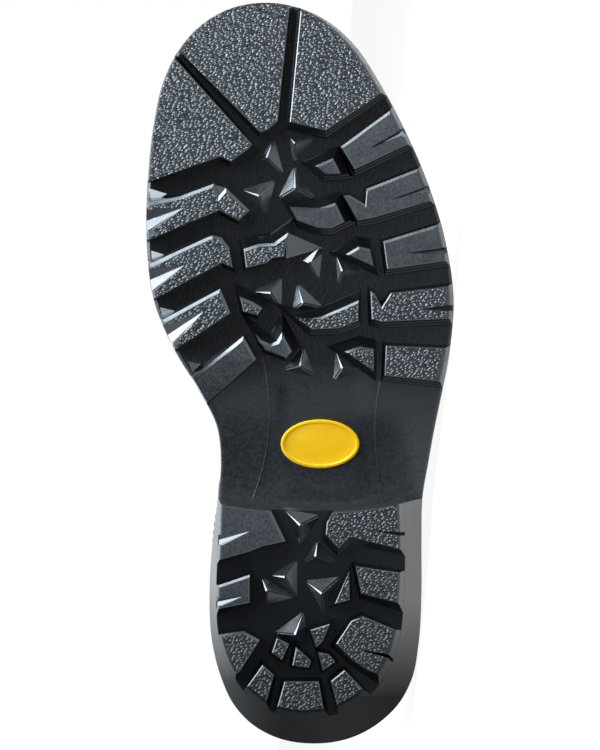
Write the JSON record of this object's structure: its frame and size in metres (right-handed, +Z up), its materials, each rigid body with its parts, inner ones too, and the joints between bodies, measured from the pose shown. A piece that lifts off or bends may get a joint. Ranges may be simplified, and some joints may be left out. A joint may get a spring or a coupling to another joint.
{
  "type": "logger boot",
  "caption": "Left black leather lace-up logger boot lying on its outer side, with a tall separate heel and a deep-lugged rubber outsole turned to view.",
  "frame": {"origin": "centre of the bounding box, on the floor that the boot lies on", "axes": "+X towards the toe, +Y from the tread towards the collar, +Z up, out of the boot's inner side"},
  "size_m": [0.2912, 0.27, 0.1249],
  "materials": {
    "rubber": "satin, partly pebbled",
    "plaque": "satin",
    "welt": "dyed edge",
    "board": "natural",
    "leather": "oiled grain",
    "facing": "oiled grain",
    "brass": "aged",
    "cord": "braided"
  },
  "bodies": {
    "root": {"outsole": "rubber", "heel": "rubber", "badge": "plaque", "welt": "welt", "insole": "board", "upper": "leather", "counter": "facing", "tongue": "leather", "eyestay_inner": "facing", "eyestay_outer": "facing", "lace": "cord", "eyelet_inner_1": "brass", "eyelet_inner_2": "brass", "eyelet_inner_3": "brass", "eyelet_inner_4": "brass", "eyelet_inner_5": "brass", "eyelet_inner_6": "brass", "eyelet_inner_7": "brass", "eyelet_outer_1": "brass", "eyelet_outer_2": "brass", "eyelet_outer_3": "brass", "eyelet_outer_4": "brass", "eyelet_outer_5": "brass", "eyelet_outer_6": "brass", "eyelet_outer_7": "brass"}
  },
  "joints": []
}
